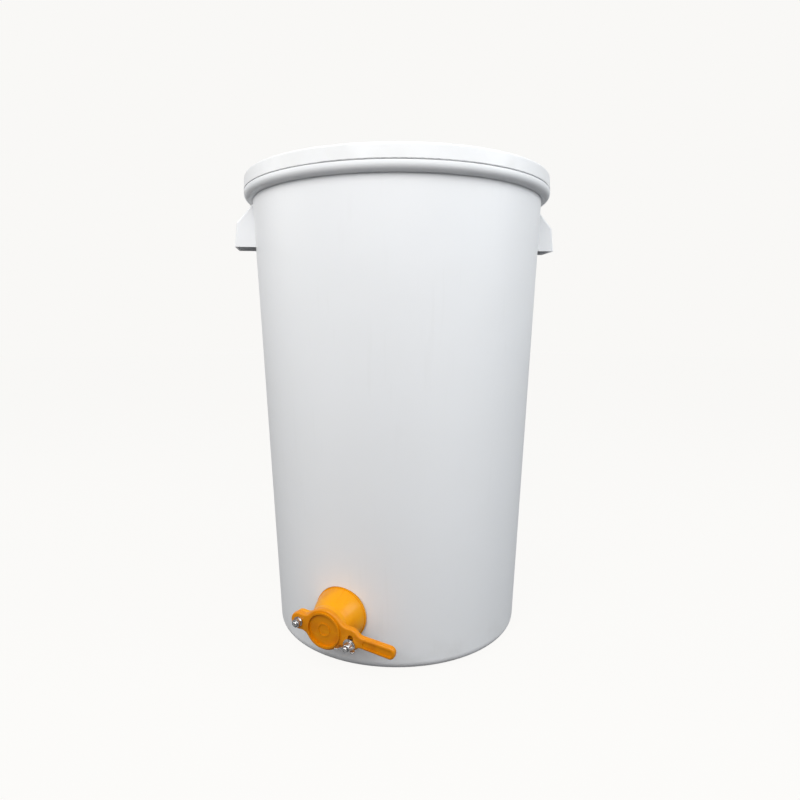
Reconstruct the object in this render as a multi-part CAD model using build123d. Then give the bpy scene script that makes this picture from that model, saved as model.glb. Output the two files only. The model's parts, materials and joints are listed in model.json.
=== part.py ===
"""Honey settling tank: a tapered white plastic tub with a push-on lid, two moulded lug
handles and a swing-plate honey gate at the foot of its wall.

Millimetres, +Z up. The origin is the centre of the tub's flat base, on the floor, and the
gate points along -Y.
"""
from build123d import *
import math
import os

# Tub
BASE_RADIUS = 178.6
WALL_TOP_RADIUS = 206.2
WALL = 4.0
FLOOR_THICKNESS = 5.0
BASE_CORNER = 12.0
FOOT_WIDTH = 26.6
BASE_HUB_RADIUS = 50.0
BASE_LIFT = 3.0
COLLAR_Z = 619.0
COLLAR_DEPTH = 11.4
COLLAR_ROUND = 8.5
COLLAR_OVERHANG = 4.9
COLLAR_TOP_ROUND = 1.0
LIP_STEP = 6.8
LIP_HEIGHT = 16.1
LIP_BEAD = 0.6
LIP_BEAD_DEPTH = 5.0
LIP_ROUND = 1.2
INNER_STEP_ROUND = 3.0

# Lid
LID_SKIN = 3.5
LID_DRAFT = 1.1
LID_CLEARANCE = 0.4
LID_SKIRT_GAP = 0.6
LID_PANEL_DROP = 10.0
LID_PLUG_LEAN = 1.0
LID_CROWN_RADIUS = 150.0
LID_CROWN_RISE = 1.5
LID_CROWN_ROUND = 2.0
LID_VALLEY_ROUND = 3.0
LID_SHOULDER_ROUND = 2.5
LID_EDGE_ROUND = 3.0
LID_FOOT_ROUND = 1.0

# Lug handles
HANDLE_ANGLE = 30.5
HANDLE_WIDTH = 50.0
HANDLE_DEPTH = 27.6
HANDLE_KNEE_DEPTH = 22.8
HANDLE_TOP_Z = 613.0
HANDLE_KNEE_Z = 588.0
HANDLE_BOTTOM_Z = 555.0
HANDLE_SKIN = 3.0
HANDLE_RIB = 3.0
HANDLE_EDGE_ROUND = 2.5
HANDLE_ROOT = 3.0

# Gate seat on the tub
GATE_Z = 73.0
SEAT_SINK = 3.4
SEAT_MARGIN = 0.5
SEAT_THICKNESS = 8.0
GASKET_THICKNESS = 1.5
GASKET_INSET = 3.0

# Gate body
GATE_DROOP = 7.6
GATE_BORE_RADIUS = 20.0
TAIL_WALL = 3.9
TAIL_LENGTH = 24.0
TAIL_CLEARANCE = 0.3
TAIL_CHAMFER = 1.0
FLANGE_RADIUS = 36.2
FLANGE_THICKNESS = 3.2
FLANGE_STEP = 1.0
BELL_BULGE = 1.0
NECK_WALL = 5.5
NECK_LENGTH = 33.6
YOKE_THICKNESS = 6.3
YOKE_RIM = 6.5
YOKE_EAR_RADIUS = 10.5
YOKE_WAIST_RADIUS = 12.0
YOKE_EAR_OVERLAP = 0.7
CLAMP_EAR_FURTHER = 1.6
CLAMP_EAR_DROP = 10.1
SEAL_OFFSET = 2.5
SEAL_SECTION = 2.0
SEAL_GROOVE_WIDTH = 2.4
SEAL_GROOVE_DEPTH = 1.9

# Lever plate that closes the gate
PLATE_GAP = 0.2
PLATE_THICKNESS = 7.0
PLATE_RIM = 0.5
PLATE_EAR_RIM = 1.0
PLATE_LOBE_RADIUS = 14.0
PLATE_WAIST_RADIUS = 12.0
PLATE_LOBE_WAIST_RADIUS = 18.0
PLATE_FRONT_ROUND = 2.6
PLATE_BACK_ROUND = 0.6
GRIP_LENGTH = 60.1
GRIP_ROOT_WIDTH = 14.6
GRIP_TIP_WIDTH = 16.4
GRIP_TIP_ROUND = 7.0
GRIP_ROOT_ROUND = 10.0
GRIP_POCKET_OFFSET = 17.7
GRIP_POCKET_EDGE = 3.0
GRIP_POCKET_DEPTH = 1.4
RIDGE_INSET = 4.7
RIDGE_WIDTH = 2.4
RIDGE_HEIGHT = 2.0
DISH_DEPTH = 1.2
BUTTON_RADIUS = 8.0
BUTTON_WIDTH = 1.6
BUTTON_HEIGHT = 0.9
SLOT_WIDTH = 7.4
SLOT_RUN_IN = 1.9
SLOT_RUN_OUT = 16.0

# Fasteners
THREAD_RADIUS = 3.0
BOLT_HOLE_CLEARANCE = 0.1
HEX_FLATS = 10.0
BOLT_HEAD_HEIGHT = 4.0
WASHER_THICKNESS = 1.6
PIVOT_WASHER_RADIUS = 6.25
CLAMP_WASHER_RADIUS = 8.0
WASHER_GAP = 0.1
LOCK_RING_HEIGHT = 6.5
LOCK_RING_COLLAR = 1.6
LOCK_RING_INSET = 0.6
LOCK_RING_ROUND = 0.8
PIVOT_BOLT_END = 1.0
CLAMP_BOLT_LENGTH = 26.5
BOLT_END_CHAMFER = 0.6
WING_HUB_RADIUS = 5.6
WING_HUB_TOP_RADIUS = 4.4
WING_HUB_HEIGHT = 8.0
WING_ROOT_START = 2.0
WING_ROOT_DEPTH = 1.0
WING_SPAN = 27.0
WING_TIP_RADIUS = 4.4
WING_HEIGHT = 14.0
WING_THICKNESS = 2.2
WING_TURN = 6.0
BACK_NUT_WALL = 5.1
BACK_NUT_HEIGHT = 7.0
BACK_NUT_FLANGE = 3.0
BACK_NUT_CLEARANCE = 0.15

# How far a cutting shape runs past the face it opens
OVERCUT = 1.0

# Radii and heights worked out from the tub's own sizes
LIP_RADIUS = WALL_TOP_RADIUS + LIP_STEP
COLLAR_RADIUS = LIP_RADIUS + COLLAR_OVERHANG
FOOT_INNER_RADIUS = BASE_RADIUS - FOOT_WIDTH
COLLAR_TOP_Z = COLLAR_Z + COLLAR_DEPTH
LIP_TOP_Z = COLLAR_TOP_Z + LIP_HEIGHT
LID_TOP_Z = LIP_TOP_Z + LID_SKIN
FLOOR_TOP_Z = BASE_LIFT + FLOOR_THICKNESS


def wall_radius(height):
    """Outer radius of the tapered wall at a height."""
    return BASE_RADIUS + (WALL_TOP_RADIUS - BASE_RADIUS) * height / COLLAR_Z


# Sizes that follow from the gate's bore and from its flange
TAIL_RADIUS = GATE_BORE_RADIUS + TAIL_WALL
NECK_RADIUS = GATE_BORE_RADIUS + NECK_WALL
SEAL_RADIUS = GATE_BORE_RADIUS + SEAL_OFFSET
YOKE_DISC_RADIUS = GATE_BORE_RADIUS + YOKE_RIM
EAR_SPACING = YOKE_DISC_RADIUS + YOKE_EAR_RADIUS - YOKE_EAR_OVERLAP
CLAMP_SPACING = EAR_SPACING + CLAMP_EAR_FURTHER
CLAMP_ALONG = CLAMP_SPACING * math.cos(math.radians(CLAMP_EAR_DROP))
CLAMP_ACROSS = -CLAMP_SPACING * math.sin(math.radians(CLAMP_EAR_DROP))
YOKE_EARS = ((EAR_SPACING, 180), (CLAMP_SPACING, -CLAMP_EAR_DROP))
PLATE_DISC_RADIUS = YOKE_DISC_RADIUS + PLATE_RIM
PLATE_EAR_RADIUS = YOKE_EAR_RADIUS + PLATE_EAR_RIM
RIDGE_RADIUS = PLATE_DISC_RADIUS - RIDGE_INSET
GRIP_TIP = EAR_SPACING + GRIP_LENGTH
GRIP_POCKET_START = EAR_SPACING + GRIP_POCKET_OFFSET
SEAT_RADIUS = FLANGE_RADIUS + SEAT_MARGIN
GASKET_RADIUS = FLANGE_RADIUS - GASKET_INSET
BACK_NUT_FLATS = 2 * (TAIL_RADIUS + BACK_NUT_WALL)

# Distances along the gate, which stands square to the leaning wall, from the tub's axis
WALL_LEAN = math.atan2(WALL_TOP_RADIUS - BASE_RADIUS, COLLAR_Z)
SEAT_REACH = wall_radius(GATE_Z) / math.cos(WALL_LEAN) - SEAT_SINK
SEAT_INNER_REACH = SEAT_REACH - SEAT_THICKNESS
FLANGE_BACK_REACH = SEAT_REACH + GASKET_THICKNESS
NECK_START_REACH = FLANGE_BACK_REACH + NECK_LENGTH
YOKE_FACE_REACH = NECK_START_REACH + YOKE_THICKNESS
PLATE_BACK_REACH = YOKE_FACE_REACH + PLATE_GAP
PLATE_FACE_REACH = PLATE_BACK_REACH + PLATE_THICKNESS
WASHER_REACH = PLATE_FACE_REACH + WASHER_GAP
NUT_REACH = WASHER_REACH + WASHER_THICKNESS

# The gate is drawn with its bore along Z and its lever along X, and then put in place
GATE_SQUARE = Plane(
    origin=(0, 0, GATE_Z + wall_radius(GATE_Z) * math.tan(WALL_LEAN)),
    x_dir=(1, 0, 0),
    z_dir=(0, -math.cos(WALL_LEAN), -math.sin(WALL_LEAN)),
)
GATE_PLACE = GATE_SQUARE.location * Rot(0, 0, -GATE_DROOP)


def turned(corners):
    """Solid of revolution about Z from closed corners of (radius, height, rounding)."""
    points = [(radius, height) for radius, height, rounding in corners]
    roundings = [rounding for radius, height, rounding in corners]
    outline = FilletPolyline(*points, radius=roundings, close=True)
    return revolve(Plane.XZ * make_face(outline.edges()), Axis.Z)


def drum(radius, start, end):
    """Plain cylinder about Z between two heights."""
    return Pos(0, 0, start) * Cylinder(radius, end - start, align=(Align.CENTER, Align.CENTER, Align.MIN))


def ring(outer, inner, start, end):
    """Plain ring about Z between two heights."""
    return drum(outer, start, end) - drum(inner, start, end)


def hexagon(flats, start, end):
    """Hexagonal prism about Z with two of its flats facing along X."""
    outline = RegularPolygon(flats / 2, 6, major_radius=False, rotation=30)
    return extrude(Pos(0, 0, start) * outline, end - start)


def corner_near(outline, point):
    """Corner of a flat outline that lies nearest to a point."""
    return outline.vertices().sort_by_distance(point)[0]


def circle_crossing(radius, other_radius, spacing):
    """Where a circle at the origin crosses another one that is centred along X."""
    along = (radius**2 - other_radius**2 + spacing**2) / (2 * spacing)
    return along, math.sqrt(radius**2 - along**2)


def lug_handle():
    """One hollow lug, open below, with a rib across it, drawn on the +X side."""
    foot = wall_radius(HANDLE_BOTTOM_Z) - HANDLE_ROOT
    head = wall_radius(HANDLE_TOP_Z)
    reach = wall_radius(HANDLE_BOTTOM_Z) + HANDLE_DEPTH
    knee_reach = wall_radius(HANDLE_KNEE_Z) + HANDLE_KNEE_DEPTH
    side = Polyline(
        (foot, HANDLE_BOTTOM_Z),
        (reach, HANDLE_BOTTOM_Z),
        (knee_reach, HANDLE_KNEE_Z),
        (head, HANDLE_TOP_Z),
        (head - HANDLE_ROOT, HANDLE_TOP_Z),
        close=True,
    )
    shell = extrude(Plane.XZ * make_face(side.edges()), HANDLE_WIDTH / 2, both=True)
    face_edges = shell.edges().filter_by(lambda edge: edge.center().X > head)
    outer_edges = [edge for edge in face_edges if edge.center().Z > HANDLE_BOTTOM_Z]
    shell = fillet(outer_edges, HANDLE_EDGE_ROUND)

    slope = math.atan2(HANDLE_TOP_Z - HANDLE_KNEE_Z, knee_reach - head)
    drop = HANDLE_SKIN / math.cos(slope)
    knee_hollow_z = HANDLE_KNEE_Z - drop + HANDLE_SKIN * math.tan(slope)
    hollow = Polyline(
        (foot, HANDLE_BOTTOM_Z - OVERCUT),
        (reach - HANDLE_SKIN, HANDLE_BOTTOM_Z - OVERCUT),
        (knee_reach - HANDLE_SKIN, knee_hollow_z),
        (foot, knee_hollow_z + (knee_reach - HANDLE_SKIN - foot) * math.tan(slope)),
        close=True,
    )
    pocket_width = (HANDLE_WIDTH - HANDLE_RIB) / 2 - HANDLE_SKIN
    for side_sign in (-1, 1):
        middle = side_sign * (HANDLE_RIB + pocket_width) / 2
        pocket = extrude(Plane.XZ * make_face(hollow.edges()), pocket_width / 2, both=True)
        shell -= Pos(0, middle, 0) * pocket
    return shell


def tank():
    """Tub with its collar, lip, base, lug handles and the gate's seat, all one moulding."""
    inner_step = COLLAR_Z + WALL
    tub = turned([
        (0, 0, 0),
        (BASE_HUB_RADIUS, 0, 0),
        (BASE_HUB_RADIUS + BASE_LIFT, BASE_LIFT, 0),
        (FOOT_INNER_RADIUS - BASE_LIFT, BASE_LIFT, 0),
        (FOOT_INNER_RADIUS, 0, 0),
        (BASE_RADIUS, 0, BASE_CORNER),
        (WALL_TOP_RADIUS, COLLAR_Z, 0),
        (COLLAR_RADIUS, COLLAR_Z, COLLAR_ROUND),
        (COLLAR_RADIUS, COLLAR_TOP_Z, COLLAR_TOP_ROUND),
        (LIP_RADIUS, COLLAR_TOP_Z, 0),
        (LIP_RADIUS, LIP_TOP_Z - LIP_BEAD_DEPTH, 0),
        (LIP_RADIUS + LIP_BEAD, LIP_TOP_Z - LIP_BEAD_DEPTH + LIP_BEAD, 0),
        (LIP_RADIUS + LIP_BEAD, LIP_TOP_Z, LIP_ROUND),
        (LIP_RADIUS - WALL, LIP_TOP_Z, 0),
        (LIP_RADIUS - WALL, inner_step, 0),
        (wall_radius(inner_step) - WALL, inner_step, INNER_STEP_ROUND),
        (wall_radius(FLOOR_TOP_Z) - WALL, FLOOR_TOP_Z, BASE_CORNER - WALL),
        (0, FLOOR_TOP_Z, 0),
    ])
    for turn in (HANDLE_ANGLE, HANDLE_ANGLE + 180):
        tub += Rot(0, 0, turn) * lug_handle()
    past_wall = SEAT_REACH + SEAT_RADIUS
    wall_form = Cone(BASE_RADIUS, WALL_TOP_RADIUS, COLLAR_Z, align=(Align.CENTER, Align.CENTER, Align.MIN))
    tub += wall_form & GATE_PLACE * drum(SEAT_RADIUS + WALL, SEAT_INNER_REACH, past_wall)
    tub += GATE_PLACE * drum(SEAT_RADIUS, SEAT_INNER_REACH, SEAT_REACH)
    tub -= GATE_PLACE * drum(SEAT_RADIUS, SEAT_REACH, past_wall)
    return tub - GATE_PLACE * drum(TAIL_RADIUS + TAIL_CLEARANCE, SEAT_INNER_REACH - WALL, past_wall)


def lid():
    """Push-on lid: a skirt outside the lip, a plug inside it and a dropped panel."""
    skirt_foot = COLLAR_TOP_Z + LID_SKIRT_GAP
    skirt_inner = LIP_RADIUS + LIP_BEAD + LID_CLEARANCE
    plug_outer = LIP_RADIUS - WALL - LID_CLEARANCE
    plug_inner = plug_outer - LID_SKIN
    panel_top = LID_TOP_Z - LID_PANEL_DROP
    panel_under = panel_top - LID_SKIN
    crown_foot = LID_CROWN_RADIUS + 2 * LID_CROWN_RISE
    return turned([
        (0, panel_top + LID_CROWN_RISE, 0),
        (LID_CROWN_RADIUS, panel_top + LID_CROWN_RISE, LID_CROWN_ROUND),
        (crown_foot, panel_top, LID_CROWN_ROUND),
        (plug_inner - LID_PLUG_LEAN, panel_top, LID_VALLEY_ROUND),
        (plug_inner, LID_TOP_Z, LID_SHOULDER_ROUND),
        (COLLAR_RADIUS - LID_DRAFT, LID_TOP_Z, LID_EDGE_ROUND),
        (COLLAR_RADIUS, skirt_foot, LID_FOOT_ROUND),
        (skirt_inner, skirt_foot, 0),
        (skirt_inner, LIP_TOP_Z, 0),
        (plug_outer, LIP_TOP_Z, 0),
        (plug_outer - LID_PLUG_LEAN, panel_under, 0),
        (crown_foot, panel_under, 0),
        (LID_CROWN_RADIUS, panel_under + LID_CROWN_RISE, 0),
        (0, panel_under + LID_CROWN_RISE, 0),
    ])


def gate_body():
    """Threaded tail, wall flange, bell and two-eared yoke, one amber moulding."""
    bell_foot = FLANGE_RADIUS - FLANGE_STEP
    bell_start = FLANGE_BACK_REACH + FLANGE_THICKNESS
    run = NECK_START_REACH - bell_start
    fall = bell_foot - NECK_RADIUS
    chord = math.hypot(run, fall)
    bulge_point = (
        (bell_foot + NECK_RADIUS) / 2 + BELL_BULGE * run / chord,
        (bell_start + NECK_START_REACH) / 2 + BELL_BULGE * fall / chord,
    )
    tail_end = FLANGE_BACK_REACH - TAIL_LENGTH
    bell = ThreePointArc((bell_foot, bell_start), bulge_point, (NECK_RADIUS, NECK_START_REACH))
    rest = Polyline(
        (NECK_RADIUS, NECK_START_REACH),
        (NECK_RADIUS, YOKE_FACE_REACH),
        (GATE_BORE_RADIUS, YOKE_FACE_REACH),
        (GATE_BORE_RADIUS, tail_end),
        (TAIL_RADIUS - TAIL_CHAMFER, tail_end),
        (TAIL_RADIUS, tail_end + TAIL_CHAMFER),
        (TAIL_RADIUS, FLANGE_BACK_REACH),
        (FLANGE_RADIUS, FLANGE_BACK_REACH),
        (FLANGE_RADIUS, bell_start),
        (bell_foot, bell_start),
    )
    body = revolve(Plane.XZ * make_face(bell.edges() + rest.edges()), Axis.Z)

    yoke = Circle(YOKE_DISC_RADIUS)
    along = math.sqrt(YOKE_DISC_RADIUS**2 - YOKE_EAR_RADIUS**2)
    for spacing, turn in YOKE_EARS:
        yoke += Rot(0, 0, turn) * Pos(spacing / 2, 0) * SlotCenterToCenter(spacing, 2 * YOKE_EAR_RADIUS)
    for spacing, turn in YOKE_EARS:
        for edge in (-1, 1):
            corner = Rot(0, 0, turn) * Pos(along, edge * YOKE_EAR_RADIUS)
            yoke = fillet(corner_near(yoke, corner.position), YOKE_WAIST_RADIUS)
    yoke -= Circle(GATE_BORE_RADIUS)
    body += extrude(Pos(0, 0, NECK_START_REACH) * yoke, YOKE_THICKNESS)
    for spacing, turn in YOKE_EARS:
        body -= Rot(0, 0, turn) * Pos(spacing, 0, 0) * drum(
            THREAD_RADIUS + BOLT_HOLE_CLEARANCE, NECK_START_REACH - OVERCUT, YOKE_FACE_REACH + OVERCUT
        )
    groove = ring(
        SEAL_RADIUS + SEAL_GROOVE_WIDTH / 2,
        SEAL_RADIUS - SEAL_GROOVE_WIDTH / 2,
        YOKE_FACE_REACH - SEAL_GROOVE_DEPTH,
        YOKE_FACE_REACH + OVERCUT,
    )
    return body - groove


def plate_outline():
    """Front outline of the lever plate: disc, pivot ear, clamp lobe and grip."""
    tip_half = GRIP_TIP_WIDTH / 2
    root_half = GRIP_ROOT_WIDTH / 2
    grip = make_face(
        Polyline(
            (EAR_SPACING, -root_half),
            (GRIP_TIP, -tip_half),
            (GRIP_TIP, tip_half),
            (EAR_SPACING, root_half),
            close=True,
        ).edges()
    )
    for side in (-1, 1):
        grip = fillet(corner_near(grip, (GRIP_TIP, side * tip_half, 0)), GRIP_TIP_ROUND)
    outline = Circle(PLATE_DISC_RADIUS)
    outline += Pos(-EAR_SPACING, 0) * Circle(PLATE_EAR_RADIUS)
    outline += Pos(EAR_SPACING, 0) * Circle(PLATE_LOBE_RADIUS)
    outline += grip
    ear_along, ear_across = circle_crossing(PLATE_DISC_RADIUS, PLATE_EAR_RADIUS, EAR_SPACING)
    lobe_along, lobe_across = circle_crossing(PLATE_DISC_RADIUS, PLATE_LOBE_RADIUS, EAR_SPACING)
    root_along = EAR_SPACING + math.sqrt(PLATE_LOBE_RADIUS**2 - root_half**2)
    for side in (-1, 1):
        outline = fillet(corner_near(outline, (-ear_along, side * ear_across, 0)), PLATE_WAIST_RADIUS)
        outline = fillet(
            corner_near(outline, (lobe_along, side * lobe_across, 0)), PLATE_LOBE_WAIST_RADIUS
        )
        outline = fillet(corner_near(outline, (root_along, side * root_half, 0)), GRIP_ROOT_ROUND)
    return outline


def clamp_slot():
    """Slot that lets the plate swing up and off the clamp bolt, an arc about the pivot."""
    reach = math.hypot(EAR_SPACING + CLAMP_ALONG, CLAMP_ACROSS)
    sweep = CenterArc((-EAR_SPACING, 0), reach, SLOT_RUN_IN, -SLOT_RUN_IN - SLOT_RUN_OUT)
    head = sweep @ 0
    band = Circle(reach + SLOT_WIDTH / 2) - Circle(reach - SLOT_WIDTH / 2)
    limit = make_face(
        Polyline(
            (0, 0),
            (2 * reach * math.cos(math.radians(SLOT_RUN_IN)), 2 * reach * math.sin(math.radians(SLOT_RUN_IN))),
            (2 * reach, -reach),
            (2 * reach * math.cos(math.radians(SLOT_RUN_OUT)), -2 * reach * math.sin(math.radians(SLOT_RUN_OUT))),
            close=True,
        ).edges()
    )
    return Pos(-EAR_SPACING, 0) * (band & limit) + Pos(head.X, head.Y) * Circle(SLOT_WIDTH / 2)


def gate_lever():
    """Plate and grip in one: it swings on the pivot bolt and covers the bore."""
    plate = extrude(Pos(0, 0, PLATE_BACK_REACH) * plate_outline(), PLATE_THICKNESS)
    plate = fillet(plate.faces().sort_by(Axis.Z)[-1].edges(), PLATE_FRONT_ROUND)
    plate = fillet(plate.faces().sort_by(Axis.Z)[0].edges(), PLATE_BACK_ROUND)
    inner_edge = RIDGE_RADIUS - RIDGE_WIDTH / 2
    dish_reach = PLATE_FACE_REACH - DISH_DEPTH
    ridge_reach = PLATE_FACE_REACH + RIDGE_HEIGHT
    plate += ring(RIDGE_RADIUS + RIDGE_WIDTH / 2, inner_edge, dish_reach, ridge_reach)
    plate -= drum(inner_edge, dish_reach, ridge_reach + OVERCUT)
    plate += ring(
        BUTTON_RADIUS + BUTTON_WIDTH / 2,
        BUTTON_RADIUS - BUTTON_WIDTH / 2,
        dish_reach - OVERCUT,
        dish_reach + BUTTON_HEIGHT,
    )
    pocket_end = GRIP_TIP - GRIP_POCKET_EDGE
    pocket_half = GRIP_ROOT_WIDTH / 2 - GRIP_POCKET_EDGE
    pocket = Pos((GRIP_POCKET_START + pocket_end) / 2, 0) * SlotOverall(
        pocket_end - GRIP_POCKET_START, 2 * pocket_half
    )
    pocket_floor = PLATE_FACE_REACH - GRIP_POCKET_DEPTH
    plate -= extrude(Pos(0, 0, pocket_floor) * pocket, GRIP_POCKET_DEPTH + OVERCUT)
    plate -= Pos(-EAR_SPACING, 0, 0) * drum(
        THREAD_RADIUS + BOLT_HOLE_CLEARANCE, PLATE_BACK_REACH - OVERCUT, PLATE_FACE_REACH + OVERCUT
    )
    slot_start = PLATE_BACK_REACH - OVERCUT
    plate -= extrude(Pos(0, 0, slot_start) * clamp_slot(), PLATE_THICKNESS + 2 * OVERCUT)
    return plate


def spout_seal():
    """Round-section ring in the yoke's groove, just proud of its face."""
    centre = YOKE_FACE_REACH - SEAL_GROOVE_DEPTH + SEAL_SECTION / 2
    return Pos(0, 0, centre) * Torus(SEAL_RADIUS, SEAL_SECTION / 2)


def hex_bolt(length):
    """Hexagon bolt with its head behind the yoke's ear."""
    end = NECK_START_REACH + length
    bolt = hexagon(HEX_FLATS, NECK_START_REACH - BOLT_HEAD_HEIGHT, NECK_START_REACH)
    bolt += drum(THREAD_RADIUS, NECK_START_REACH - OVERCUT, end)
    return chamfer(bolt.edges().sort_by(Axis.Z)[-1], BOLT_END_CHAMFER)


def washer(radius, bore_clearance):
    """Flat washer on the plate's face."""
    return ring(radius, THREAD_RADIUS + bore_clearance, WASHER_REACH, NUT_REACH)


def pivot_nut():
    """Self-locking nut: a hexagon with a domed collar that holds its insert."""
    nut_end = NUT_REACH + LOCK_RING_HEIGHT
    nut = hexagon(HEX_FLATS, NUT_REACH, nut_end - LOCK_RING_COLLAR)
    nut += drum(HEX_FLATS / 2 - LOCK_RING_INSET, nut_end - LOCK_RING_COLLAR, nut_end)
    nut = fillet(nut.edges().filter_by(GeomType.CIRCLE).sort_by(Axis.Z)[-1], LOCK_RING_ROUND)
    return nut - drum(THREAD_RADIUS + BOLT_HOLE_CLEARANCE, NUT_REACH - OVERCUT, nut_end + OVERCUT)


def wing_nut():
    """Wing nut with a tapered hub and two flared, round-tipped wings."""
    hub = Pos(0, 0, NUT_REACH) * Cone(
        WING_HUB_RADIUS, WING_HUB_TOP_RADIUS, WING_HUB_HEIGHT, align=(Align.CENTER, Align.CENTER, Align.MIN)
    )
    tip_x = WING_SPAN / 2 - WING_TIP_RADIUS
    tip_z = NUT_REACH + WING_HEIGHT - WING_TIP_RADIUS
    root_x = WING_HUB_TOP_RADIUS - OVERCUT
    root = Line(
        (root_x, NUT_REACH + WING_ROOT_START),
        (root_x, NUT_REACH + WING_HUB_HEIGHT - WING_ROOT_DEPTH),
    )
    tip = Pos(tip_x, tip_z) * Circle(WING_TIP_RADIUS)
    blade = make_hull([*tip.edges(), *root.edges()])
    wing = extrude(Plane.XZ * blade, WING_THICKNESS / 2, both=True)
    wings = wing + Rot(0, 0, 180) * wing
    nut = hub + Rot(0, 0, WING_TURN) * wings
    return nut - drum(THREAD_RADIUS + BOLT_HOLE_CLEARANCE, NUT_REACH - OVERCUT, NUT_REACH + WING_HEIGHT)


def back_nut():
    """Flanged hexagon nut that pulls the gate against the tub from inside."""
    face = SEAT_INNER_REACH - GASKET_THICKNESS
    flange_back = face - BACK_NUT_FLANGE
    end = flange_back - BACK_NUT_HEIGHT
    nut = drum(GASKET_RADIUS, flange_back, face)
    nut += hexagon(BACK_NUT_FLATS, end, flange_back)
    return nut - drum(TAIL_RADIUS + BACK_NUT_CLEARANCE, end - OVERCUT, face + OVERCUT)


def gasket(start):
    """Flat ring gasket round the gate's tail."""
    return ring(GASKET_RADIUS, TAIL_RADIUS + TAIL_CLEARANCE, start, start + GASKET_THICKNESS)


pivot_length = NUT_REACH + LOCK_RING_HEIGHT + PIVOT_BOLT_END - NECK_START_REACH
at_pivot = GATE_PLACE * Pos(-EAR_SPACING, 0, 0)
at_clamp = GATE_PLACE * Pos(CLAMP_ALONG, CLAMP_ACROSS, 0)

pieces = {
    "tank": tank(),
    "lid": lid(),
    "gate_body": GATE_PLACE * gate_body(),
    "outer_gasket": GATE_PLACE * gasket(SEAT_REACH),
    "inner_gasket": GATE_PLACE * gasket(SEAT_INNER_REACH - GASKET_THICKNESS),
    "back_nut": GATE_PLACE * back_nut(),
    "spout_seal": GATE_PLACE * spout_seal(),
    "gate_lever": GATE_PLACE * gate_lever(),
    "pivot_bolt": at_pivot * hex_bolt(pivot_length),
    "pivot_washer": at_pivot * washer(PIVOT_WASHER_RADIUS, BOLT_HOLE_CLEARANCE),
    "pivot_nut": at_pivot * pivot_nut(),
    "clamp_bolt": at_clamp * hex_bolt(CLAMP_BOLT_LENGTH),
    "clamp_washer": at_clamp * washer(CLAMP_WASHER_RADIUS, 2 * BOLT_HOLE_CLEARANCE),
    "wing_nut": at_clamp * wing_nut(),
}

os.makedirs("parts", exist_ok=True)
for name, piece in pieces.items():
    export_step(piece, os.path.join("parts", name + ".step"))
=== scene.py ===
import json
import math

import bmesh
import bpy
from mathutils import Matrix, Vector


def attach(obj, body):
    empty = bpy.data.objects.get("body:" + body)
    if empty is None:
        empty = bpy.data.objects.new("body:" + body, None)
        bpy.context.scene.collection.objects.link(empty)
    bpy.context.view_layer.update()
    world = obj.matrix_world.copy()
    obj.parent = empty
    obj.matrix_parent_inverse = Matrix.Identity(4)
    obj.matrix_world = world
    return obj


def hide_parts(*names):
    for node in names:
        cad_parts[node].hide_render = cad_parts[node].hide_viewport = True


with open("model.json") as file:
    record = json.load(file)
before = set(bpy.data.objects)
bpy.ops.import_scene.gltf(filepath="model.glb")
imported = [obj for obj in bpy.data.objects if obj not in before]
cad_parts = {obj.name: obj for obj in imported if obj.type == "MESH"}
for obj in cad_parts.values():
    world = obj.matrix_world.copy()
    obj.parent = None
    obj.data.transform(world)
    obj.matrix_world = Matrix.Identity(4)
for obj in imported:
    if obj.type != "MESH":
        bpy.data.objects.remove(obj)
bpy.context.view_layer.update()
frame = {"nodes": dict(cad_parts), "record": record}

# The view. The tank was photographed from about two thirds of its height, a little to the right of
# the honey gate, from less than a metre away. The aim is 7 degrees down.
VIEW_TURN = math.radians(23.7)
VIEW_DISTANCE = 0.9281
VIEW_HEIGHT = 0.447
VIEW_DOWN = math.radians(7.0)
LENS_MM = 27.612
FILM_WIDTH_MM = 36
LENS_SHIFT = 0.0038
NEAREST_SEEN = 0.01

camera = bpy.data.objects.new("view_of_the_tank", bpy.data.cameras.new("view_of_the_tank"))
camera.location = (VIEW_DISTANCE * math.sin(VIEW_TURN), -VIEW_DISTANCE * math.cos(VIEW_TURN),
                   VIEW_HEIGHT)
camera.rotation_euler = (math.pi / 2 - VIEW_DOWN, 0, VIEW_TURN)
camera.data.lens = LENS_MM
camera.data.sensor_width = FILM_WIDTH_MM
camera.data.shift_x = LENS_SHIFT
camera.data.clip_start = NEAREST_SEEN
bpy.context.scene.collection.objects.link(camera)
bpy.context.scene.camera = camera
bpy.context.scene.view_settings.view_transform = "Standard"

# The studio. The floor and the room show the warm white of the photograph's background. The floor
# throws little light back, and its shadow is faint, because the background is shown almost alone.
# A large soft box hangs in front of the tank, and two weaker ones at the sides.
PAPER = (0.947, 0.939, 0.922, 1)
PAPER_BOUNCE = (0.08, 0.08, 0.085, 1)
PAPER_GLOW = 1.02
PAPER_SEEN = 0.96
PAPER_MIRRORED = 0.35
PAPER_RADIUS = 9
PAPER_EDGES = 64
ROOM_LIGHT = (0.86, 0.89, 0.93, 1)
ROOM_LEVEL = 0.52
ROOM_MIRRORED = 0.6


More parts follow.
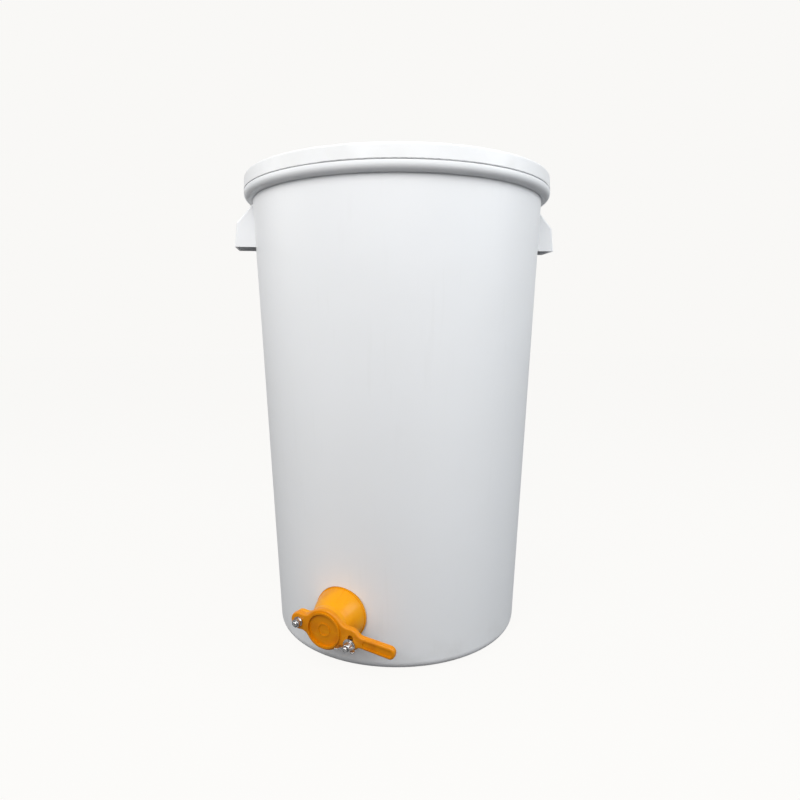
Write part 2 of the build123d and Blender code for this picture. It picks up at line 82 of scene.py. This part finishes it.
class Signal:
    """One value on its way through a tree of nodes. A sum of signals adds the nodes it needs."""

    def __init__(self, tree, socket=None):
        self.tree = tree
        self.socket = socket

    def node(self, kind, settings=None, inputs=None, output=0):
        made = self.tree.nodes.new(kind)
        for name, value in (settings or {}).items():
            setattr(made, name, value)
        for name, value in (inputs or {}).items():
            if isinstance(value, Signal):
                self.tree.links.new(value.socket, made.inputs[name])
            else:
                made.inputs[name].default_value = value
        return Signal(self.tree, made.outputs[output] if len(made.outputs) else None)

    def math(self, operation, first, second):
        return self.node("ShaderNodeMath", {"operation": operation}, {0: first, 1: second})

    def __add__(self, other):
        return self.math("ADD", self, other)

    def __radd__(self, other):
        return self.math("ADD", other, self)

    def __sub__(self, other):
        return self.math("SUBTRACT", self, other)

    def __rsub__(self, other):
        return self.math("SUBTRACT", other, self)

    def __mul__(self, other):
        return self.math("MULTIPLY", self, other)

    def __rmul__(self, other):
        return self.math("MULTIPLY", other, self)

    def __truediv__(self, other):
        return self.math("DIVIDE", self, other)

    def __rtruediv__(self, other):
        return self.math("DIVIDE", other, self)

    def blend(self, colour, other_colour):
        """The first colour where the signal is 0, and the second where it is 1."""
        return self.node("ShaderNodeMix", {"data_type": "RGBA"},
                         {0: self, 6: colour, 7: other_colour}, output=2)

    def noise(self, scale, detail, distortion=0.0):
        return self.node("ShaderNodeTexNoise", inputs={
            "Vector": self, "Scale": scale, "Detail": detail, "Distortion": distortion})

    def rise(self, start, end, most=1.0):
        """0 up to the start and the most from the end on, with a soft step between them."""
        return self.node("ShaderNodeMapRange", {"interpolation_type": "SMOOTHSTEP"},
                         {"Value": self, "From Min": start, "From Max": end, "To Max": most})

    def relief(self, strength, distance, over=None):
        inputs = {"Height": self, "Strength": strength, "Distance": distance}
        if over is not None:
            inputs["Normal"] = over
        return self.node("ShaderNodeBump", inputs=inputs)


def bare_tree(owner):
    owner.use_nodes = True
    owner.node_tree.nodes.clear()
    return Signal(owner.node_tree)


def kinds_of_ray(start):
    return [start.node("ShaderNodeLightPath", output=kind)
            for kind in ("Is Camera Ray", "Is Glossy Ray", "Is Transmission Ray")]


paper = bpy.data.materials.new("pale_paper")
sheet = bare_tree(paper)
seen, mirrored, through = kinds_of_ray(sheet)
lit = sheet.node("ShaderNodeBsdfDiffuse", inputs={"Color": seen.blend(PAPER_BOUNCE, PAPER)})
shown = sheet.node("ShaderNodeEmission", inputs={"Color": PAPER, "Strength": PAPER_GLOW})
share = seen * PAPER_SEEN + mirrored * PAPER_MIRRORED + through * PAPER_SEEN
shade = sheet.node("ShaderNodeMixShader", inputs={0: share, 1: lit, 2: shown})
sheet.node("ShaderNodeOutputMaterial", inputs={"Surface": shade})

corners = [2 * math.pi * step / PAPER_EDGES for step in range(PAPER_EDGES)]
rim = [(PAPER_RADIUS * math.cos(turn), PAPER_RADIUS * math.sin(turn), 0) for turn in corners]
floor_shape = bpy.data.meshes.new("floor")
floor_shape.from_pydata(rim, [], [range(PAPER_EDGES)])
floor_shape.materials.append(paper)
floor = bpy.data.objects.new("floor", floor_shape)
bpy.context.scene.collection.objects.link(floor)

room = bpy.data.worlds.new("pale_room")
air = bare_tree(room)
seen, mirrored, through = kinds_of_ray(air)
lit = air.node("ShaderNodeBackground", inputs={"Color": ROOM_LIGHT, "Strength": ROOM_LEVEL})
shown = air.node("ShaderNodeBackground", inputs={"Color": PAPER, "Strength": 1.0})
share = seen + mirrored * ROOM_MIRRORED + through
shade = air.node("ShaderNodeMixShader", inputs={0: share, 1: lit, 2: shown})
air.node("ShaderNodeOutputWorld", inputs={"Surface": shade})
bpy.context.scene.world = room


def hang_soft_box(name, place, aim, width, height, watts, colour):
    lamp = bpy.data.lights.new(name, "AREA")
    lamp.shape = "RECTANGLE"
    lamp.size = width
    lamp.size_y = height
    lamp.energy = watts
    lamp.color = colour
    box = bpy.data.objects.new(name, lamp)
    box.location = place
    box.rotation_euler = (Vector(aim) - Vector(place)).to_track_quat("-Z", "Y").to_euler()
    bpy.context.scene.collection.objects.link(box)


hang_soft_box("soft_box_above", place=(0.35, -1.30, 1.30), aim=(0.02, 0, 0.44),
              width=1.7, height=1.0, watts=21, colour=(1.0, 0.995, 0.985))
hang_soft_box("soft_box_right", place=(1.75, 0.25, 1.40), aim=(0, 0, 0.50),
              width=1.0, height=1.2, watts=17, colour=(0.93, 0.97, 1.0))
hang_soft_box("soft_box_left", place=(-1.7, -0.80, 1.25), aim=(0, 0, 0.42),
              width=1.0, height=1.2, watts=11, colour=(1.0, 0.985, 0.95))

# The tub. It is one hollow moulding of white food-grade polyethylene, with its collar band, lug
# handles and the gate's seat in one piece. The skin has the mould's faint ripple, a fine grain,
# and light rubbing at the foot and up the wall from carrying and nesting.
TUB_WHITE = (0.835, 0.842, 0.852, 1)
TUB_RUBBED = (0.70, 0.70, 0.69, 1)
TUB_RIPPLE = 0.10
FOOT_RUB_HEIGHT = 0.055
WALL_STREAKS = (140.0, 140.0, 6.0)


def surface(start, inputs):
    skin = start.node("ShaderNodeBsdfPrincipled", inputs=inputs)
    start.node("ShaderNodeOutputMaterial", inputs={"Surface": skin})


def polyethylene(name, white, rubbed, rub_height, ripple):
    made = bpy.data.materials.new(name)
    start = bare_tree(made)
    place = start.node("ShaderNodeTexCoord", output="Object")
    height = start.node("ShaderNodeSeparateXYZ", inputs={"Vector": place}, output="Z")
    clouds = place.noise(scale=7.0, detail=4.0)
    upright = start.node("ShaderNodeMapping", inputs={"Vector": place, "Scale": WALL_STREAKS})
    streaks = upright.noise(scale=1.0, detail=3.0).rise(0.60, 0.74)
    broken = place.noise(scale=24.0, detail=6.0).rise(0.42, 0.66)
    wear = height.rise(rub_height, 0.0) * broken * 0.5 + streaks * 0.10
    tone = start.node("ShaderNodeMapRange", inputs={
        "Value": clouds, "From Min": 0.3, "From Max": 0.7, "To Max": 0.10})
    grain = place.noise(scale=620.0, detail=2.0)
    waves = place.noise(scale=16.0, detail=1.0)
    wavy = waves.relief(strength=ripple, distance=0.004)
    surface(start, {
        "Base Color": wear.blend(tone.blend(white, rubbed), rubbed),
        "Roughness": 0.40 + clouds * 0.08 + wear * 0.3,
        "Normal": grain.relief(strength=0.10, distance=0.0003, over=wavy),
        "Specular IOR Level": 0.42,
        "Subsurface Weight": 0.08,
        "Subsurface Radius": (1.0, 0.95, 0.85),
        "Subsurface Scale": 0.006})
    return made


def finish_with(node, material):
    for holder in frame["nodes"][node].material_slots:
        holder.material = material


tub_polyethylene = polyethylene("tub_polyethylene", TUB_WHITE, TUB_RUBBED, FOOT_RUB_HEIGHT,
                                TUB_RIPPLE)
finish_with("tank", tub_polyethylene)

# The lid. It is pushed over the tub's lip, a separate moulding of the same white polyethylene. It
# is a little smoother than the tub and not rubbed at a foot, because it lies clear of the floor.
LID_WHITE = (0.80, 0.805, 0.81, 1)
LID_RUBBED = (0.76, 0.76, 0.75, 1)
LID_RIPPLE = 0.07
BELOW_THE_FLOOR = -1.0

finish_with("lid", polyethylene("lid_polyethylene", LID_WHITE, LID_RUBBED, BELOW_THE_FLOOR,
                                LID_RIPPLE))

# The honey gate's body. Flange, bell, spout, yoke and threaded tail are one moulding of amber
# plastic, and the back nut is moulded of the same. It is half glossy, with faint flow marks from
# the mould. The gate stands square to the leaning wall and is turned a little about its own axis.
AMBER = (0.80, 0.325, 0.0, 1)
AMBER_DEEP = (0.68, 0.225, 0.0, 1)
AMBER_PALE = (0.86, 0.40, 0.0, 1)
FLOW_MARKS = (38.0, 150.0, 60.0)
GATE_DROOP = math.radians(7.6)
BORE_FROM_PIVOT = 0.0363


def amber_plastic(name, centre, facing, plain, dark, light):
    made = bpy.data.materials.new(name)
    start = bare_tree(made)
    place = start.node("ShaderNodeTexCoord", output="Object")
    from_centre = start.node("ShaderNodeMapping", {"vector_type": "TEXTURE"}, {
        "Vector": place, "Location": tuple(centre), "Rotation": tuple(facing)})
    bent = from_centre.noise(scale=26.0, detail=3.0, distortion=1.6)
    flow = start.node("ShaderNodeMapping", inputs={"Vector": from_centre, "Scale": FLOW_MARKS})
    lines = flow.noise(scale=1.0, detail=3.0, distortion=0.8)
    deep = bent.rise(0.48, 0.72, most=0.55)
    pale = lines.rise(0.55, 0.80, most=0.45)
    grain = place.noise(scale=900.0, detail=2.0)
    sink = bent.relief(strength=0.14, distance=0.0025)
    surface(start, {
        "Base Color": pale.blend(deep.blend(plain, dark), light),
        "Roughness": 0.26 + bent * 0.10 + lines * 0.08,
        "Normal": grain.relief(strength=0.08, distance=0.0002, over=sink),
        "Specular IOR Level": 0.22,
        "Coat Weight": 0.02 + lines * 0.08,
        "Coat Roughness": 0.12,
        "Subsurface Weight": 0.08,
        "Subsurface Radius": (1.0, 0.4, 0.05),
        "Subsurface Scale": 0.004})
    return made


gate_joints = {joint["name"]: joint for joint in frame["record"]["behaviour"]["joints"]}
outward = Vector(gate_joints["gate_swing"]["axis"]).normalized()
pivot_at = Vector(gate_joints["gate_swing"]["pos_m"])
clamp_at = Vector(gate_joints["wing_turn"]["pos_m"])
level = Vector((1, 0, 0))
along_lever = level * math.cos(GATE_DROOP) - outward.cross(level) * math.sin(GATE_DROOP)
across_lever = outward.cross(along_lever)


def at_gate(place):
    turned = Matrix((along_lever, across_lever, outward)).transposed().to_4x4()
    return Matrix.Translation(place) @ turned


gate_middle = pivot_at + along_lever * BORE_FROM_PIVOT
gate_facing = at_gate(gate_middle).to_euler()
body_amber = amber_plastic("gate_body_amber", gate_middle, gate_facing,
                           AMBER, AMBER_DEEP, AMBER_PALE)
finish_with("gate_body", body_amber)
finish_with("back_nut", body_amber)

# The tail's screw thread. It is moulded coarse in the amber plastic, and the back nut runs on it.
# Past the nut one turn of it is free, a ridge that winds round the tail and fades at both ends.
TAIL_PITCH = 0.002
TAIL_THREAD_LENGTH = 0.0020
TAIL_THREAD_RADIUS = 0.0238
TAIL_THREAD_DEPTH = 0.0007
TAIL_END_BACK = 0.0628
STEPS_A_TURN = 40
RIDGE_SLOPE_OF_PITCH = 0.41
FADES_IN_A_TURN = 2.5
THINNEST_RIDGE = 0.02


def grow_thread_tree():
    tree = bpy.data.node_groups.new("winding_thread", "GeometryNodeTree")
    sizes = {"Radius": "NodeSocketFloat", "Pitch": "NodeSocketFloat", "Length": "NodeSocketFloat",
             "Depth": "NodeSocketFloat", "Material": "NodeSocketMaterial"}
    for name, kind in sizes.items():
        tree.interface.new_socket(name, in_out="INPUT", socket_type=kind)
    tree.interface.new_socket("Geometry", in_out="OUTPUT", socket_type="NodeSocketGeometry")
    start = Signal(tree)
    asked = {name: start.node("NodeGroupInput", output=name) for name in sizes}
    turns = asked["Length"] / asked["Pitch"]
    winding = start.node("GeometryNodeCurveSpiral", inputs={
        "Resolution": STEPS_A_TURN, "Rotations": turns, "Start Radius": asked["Radius"],
        "End Radius": asked["Radius"], "Height": asked["Length"]})
    along = start.node("GeometryNodeSplineParameter", output="Factor")
    from_end = start.math("MINIMUM", along, 1 - along)
    fade = start.math("MINIMUM", from_end * turns * FADES_IN_A_TURN + THINNEST_RIDGE, 1.0)
    slope = asked["Pitch"] * RIDGE_SLOPE_OF_PITCH
    ridge = start.node("GeometryNodeCurvePrimitiveQuadrilateral", {"mode": "KITE"}, {
        "Width": asked["Depth"] * 2.0, "Bottom Height": slope, "Top Height": slope})
    swept = start.node("GeometryNodeCurveToMesh", inputs={
        "Curve": winding, "Profile Curve": ridge, "Scale": fade, "Fill Caps": True})
    plain = start.node("GeometryNodeRealizeInstances", inputs={"Geometry": swept})
    coated = start.node("GeometryNodeSetMaterial", inputs={
        "Geometry": plain, "Material": asked["Material"]})
    start.node("NodeGroupOutput", inputs={"Geometry": coated})
    return tree


thread_tree = grow_thread_tree()


def cut_thread(name, start_at, length, radius, pitch, depth, material, body):
    seed = bpy.data.objects.new(name + "_seed", bpy.data.meshes.new(name + "_seed"))
    bpy.context.scene.collection.objects.link(seed)
    grown = seed.modifiers.new("thread", "NODES")
    grown.node_group = thread_tree
    wanted = {"Radius": radius, "Pitch": pitch, "Length": length, "Depth": depth,
              "Material": material}
    for socket in thread_tree.interface.items_tree:
        if socket.in_out == "INPUT":
            grown[socket.identifier] = wanted[socket.name]
    bpy.context.view_layer.update()
    grown_seed = seed.evaluated_get(bpy.context.evaluated_depsgraph_get())
    shape = bpy.data.meshes.new_from_object(grown_seed)
    seed.modifiers.clear()
    bpy.data.objects.remove(seed)
    shape.transform(at_gate(start_at))
    shape.name = name
    piece = bpy.data.objects.new(name, shape)
    bpy.context.scene.collection.objects.link(piece)
    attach(piece, body)


cut_thread("tail_thread", gate_middle - outward * TAIL_END_BACK, TAIL_THREAD_LENGTH,
           TAIL_THREAD_RADIUS, TAIL_PITCH, TAIL_THREAD_DEPTH, body_amber, "tub")

# The gate's lever. Swing plate, raised ring and grip are a second moulding, of a slightly deeper
# amber. Its flow marks run along the grip, because the plastic entered the mould at its end.
LEVER_AMBER = (0.70, 0.24, 0.0, 1)
LEVER_DEEP = (0.56, 0.155, 0.0, 1)
LEVER_PALE = (0.80, 0.33, 0.0, 1)

finish_with("gate_lever", amber_plastic("gate_lever_amber", pivot_at, gate_facing,
                                        LEVER_AMBER, LEVER_DEEP, LEVER_PALE))

# The gaskets and the seal. Two pale soft rings seal the gate to the wall, and a black rubber ring
# in the yoke's groove seals the plate. They are cut or moulded rubber with a powdery matt skin.
GASKET_PALE = (0.72, 0.72, 0.69, 1)
GASKET_DUSTY = (0.60, 0.60, 0.57, 1)
GASKET_ROUGHNESS = 0.62
SEAL_BLACK = (0.022, 0.021, 0.020, 1)
SEAL_DUSTY = (0.075, 0.072, 0.068, 1)
SEAL_ROUGHNESS = 0.5


def rubber(name, clean, dusty, roughness):
    made = bpy.data.materials.new(name)
    start = bare_tree(made)
    place = start.node("ShaderNodeTexCoord", output="Object")
    dust = place.noise(scale=160.0, detail=5.0).rise(0.42, 0.70)
    grain = place.noise(scale=1500.0, detail=2.0)
    surface(start, {
        "Base Color": dust.blend(clean, dusty),
        "Roughness": roughness + dust * 0.2,
        "Normal": grain.relief(strength=0.25, distance=0.0002),
        "Specular IOR Level": 0.35})
    return made


gasket_rubber = rubber("gasket_rubber", GASKET_PALE, GASKET_DUSTY, GASKET_ROUGHNESS)
finish_with("outer_gasket", gasket_rubber)
finish_with("inner_gasket", gasket_rubber)
finish_with("spout_seal", rubber("seal_rubber", SEAL_BLACK, SEAL_DUSTY, SEAL_ROUGHNESS))

# The bolts, washers and pivot nut. They are bright stainless steel, turned and rolled, with fine
# marks round their axes, and noise patches of painted dark reflection, which are also rougher. The
# pivot nut locks itself with a ring of dark nylon in its mouth, and the clamp bolt's free end shows
# a fine rolled thread.
STEEL_BRIGHT = (0.64, 0.64, 0.65, 1)
STEEL_DULL_AND_PAINTED_REFLECTION = (0.24, 0.235, 0.23, 1)
TURNING_MARKS = 5200.0
NYLON = (0.035, 0.04, 0.05, 1)
NYLON_RADIUS = 0.0040
LOCK_NUT_MOUTH = 0.01505
BOLT_PITCH = 0.001
CLAMP_THREAD_FROM = 0.0042
CLAMP_THREAD_LENGTH = 0.0037
CLAMP_THREAD_RADIUS = 0.00294
CLAMP_THREAD_DEPTH = 0.00014


def stainless(name, axis, nylon_ahead=None):
    made = bpy.data.materials.new(name)
    start = bare_tree(made)
    place = start.node("ShaderNodeTexCoord", output="Object")
    centred = start.node("ShaderNodeMapping", {"vector_type": "TEXTURE"}, {
        "Vector": place, "Location": tuple(axis), "Rotation": tuple(gate_facing)})
    flat = start.node("ShaderNodeVectorMath", {"operation": "MULTIPLY"}, {
        0: centred, 1: (1.0, 1.0, 0.0)})
    radius = start.node("ShaderNodeVectorMath", {"operation": "LENGTH"}, {0: flat}, output="Value")
    ahead = start.node("ShaderNodeSeparateXYZ", inputs={"Vector": centred}, output="Z")
    rings = start.node("ShaderNodeCombineXYZ", inputs={
        "X": radius * TURNING_MARKS, "Y": ahead * TURNING_MARKS})
    marks = rings.noise(scale=1.0, detail=2.0)
    # Noise patches that are rougher, and whose darker colour is a painted dark reflection.
    dull_and_painted_reflection = place.noise(scale=420.0, detail=4.0).rise(0.36, 0.68, most=0.9)
    colour = dull_and_painted_reflection.blend(STEEL_BRIGHT, STEEL_DULL_AND_PAINTED_REFLECTION)
    roughness = 0.14 + marks * 0.10 + dull_and_painted_reflection * 0.16
    metal = 1.0
    if nylon_ahead is not None:
        inside = start.math("LESS_THAN", radius, NYLON_RADIUS)
        nylon = inside * start.math("GREATER_THAN", ahead, nylon_ahead)
        colour = nylon.blend(colour, NYLON)
        metal = 1 - nylon
        roughness = roughness + nylon * 0.25
    surface(start, {
        "Base Color": colour,
        "Roughness": roughness,
        "Metallic": metal,
        "Normal": marks.relief(strength=0.10, distance=0.00005)})
    return made


pivot_steel = stainless("pivot_steel", pivot_at)
clamp_steel = stainless("clamp_steel", clamp_at)
finish_with("pivot_bolt", pivot_steel)
finish_with("pivot_washer", pivot_steel)
finish_with("pivot_nut", stainless("lock_nut_steel", pivot_at, LOCK_NUT_MOUTH))
finish_with("clamp_bolt", clamp_steel)
finish_with("clamp_washer", clamp_steel)
cut_thread("clamp_bolt_thread", clamp_at + outward * CLAMP_THREAD_FROM, CLAMP_THREAD_LENGTH,
           CLAMP_THREAD_RADIUS, BOLT_PITCH, CLAMP_THREAD_DEPTH, clamp_steel, "tub")

# The wing nut. It is a small bright stainless casting with a tapered hub and two raised ears, which
# the fingers turn. It screws along the clamp bolt and presses the washer on the plate.
WING_TURN = math.radians(6.0)
WING_FOOT_BACK = 0.00306
WING_HUB_FOOT = 0.0056
WING_HUB_TOP = 0.0044
WING_HUB_HEIGHT = 0.0080
WING_FOOT_RIM = 0.0014
WING_TOP_ROUND = 0.0006
WING_BORE = 0.0036
WING_EAR_THICKNESS = 0.0021
WING_EAR_POINTS = (
    (0.0036, 0.0014), (0.0052, 0.0010), (0.0078, 0.0030), (0.0104, 0.0056),
    (0.0126, 0.0086), (0.0134, 0.0112), (0.0126, 0.0132), (0.0108, 0.0139),
    (0.0090, 0.0134), (0.0076, 0.0118), (0.0060, 0.0092), (0.0036, 0.0076))
HUB_STEPS = 48
CASTING_GRAIN = 0.00022
CASTING_SOFTNESS = 0.5
CASTING_ROUNDS = 7


def close_band(shape, here, there):
    for i in range(len(here)):
        j = (i + 1) % len(here)
        shape.faces.new((here[i], here[j], there[j], there[i]))


def cast_wing_nut():
    shape = bmesh.new()
    hub = ((WING_BORE, 0.0), (WING_HUB_FOOT, 0.0), (WING_HUB_FOOT, WING_FOOT_RIM),
           (WING_HUB_TOP, WING_HUB_HEIGHT - WING_TOP_ROUND),
           (WING_HUB_TOP - WING_TOP_ROUND, WING_HUB_HEIGHT), (WING_BORE, WING_HUB_HEIGHT))
    rings = []
    for step in range(HUB_STEPS):
        around = 2 * math.pi * step / HUB_STEPS
        rings.append([shape.verts.new((r * math.cos(around), r * math.sin(around), h))
                      for r, h in hub])
    for step in range(HUB_STEPS):
        close_band(shape, rings[step], rings[(step + 1) % HUB_STEPS])
    half = WING_EAR_THICKNESS / 2
    for side in (1, -1):
        near = [shape.verts.new((side * r, -half, h)) for r, h in WING_EAR_POINTS]
        far = [shape.verts.new((side * r, half, h)) for r, h in WING_EAR_POINTS]
        shape.faces.new(near)
        shape.faces.new(far[::-1])
        close_band(shape, near, far)
    bmesh.ops.recalc_face_normals(shape, faces=shape.faces)
    cage = bpy.data.meshes.new("wing_nut_cage")
    shape.to_mesh(cage)
    shape.free()
    casting = bpy.data.objects.new("wing_nut_cage", cage)
    bpy.context.scene.collection.objects.link(casting)
    fused = casting.modifiers.new("fused", "REMESH")
    fused.mode = "VOXEL"
    fused.voxel_size = CASTING_GRAIN
    soft = casting.modifiers.new("soft", "SMOOTH")
    soft.factor = CASTING_SOFTNESS
    soft.iterations = CASTING_ROUNDS
    bpy.context.view_layer.update()
    cast = casting.evaluated_get(bpy.context.evaluated_depsgraph_get())
    done = bpy.data.meshes.new_from_object(cast)
    bpy.data.objects.remove(casting)
    foot = at_gate(clamp_at - outward * WING_FOOT_BACK)
    done.transform(foot @ Matrix.Rotation(WING_TURN, 4, "Z"))
    for face in done.polygons:
        face.use_smooth = True
    return done


wing_shape = cast_wing_nut()
wing_shape.materials.append(stainless("wing_nut_steel", clamp_at))
wing = bpy.data.objects.new("wing_nut_casting", wing_shape)
bpy.context.scene.collection.objects.link(wing)
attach(wing, "wing")
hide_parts("wing_nut")
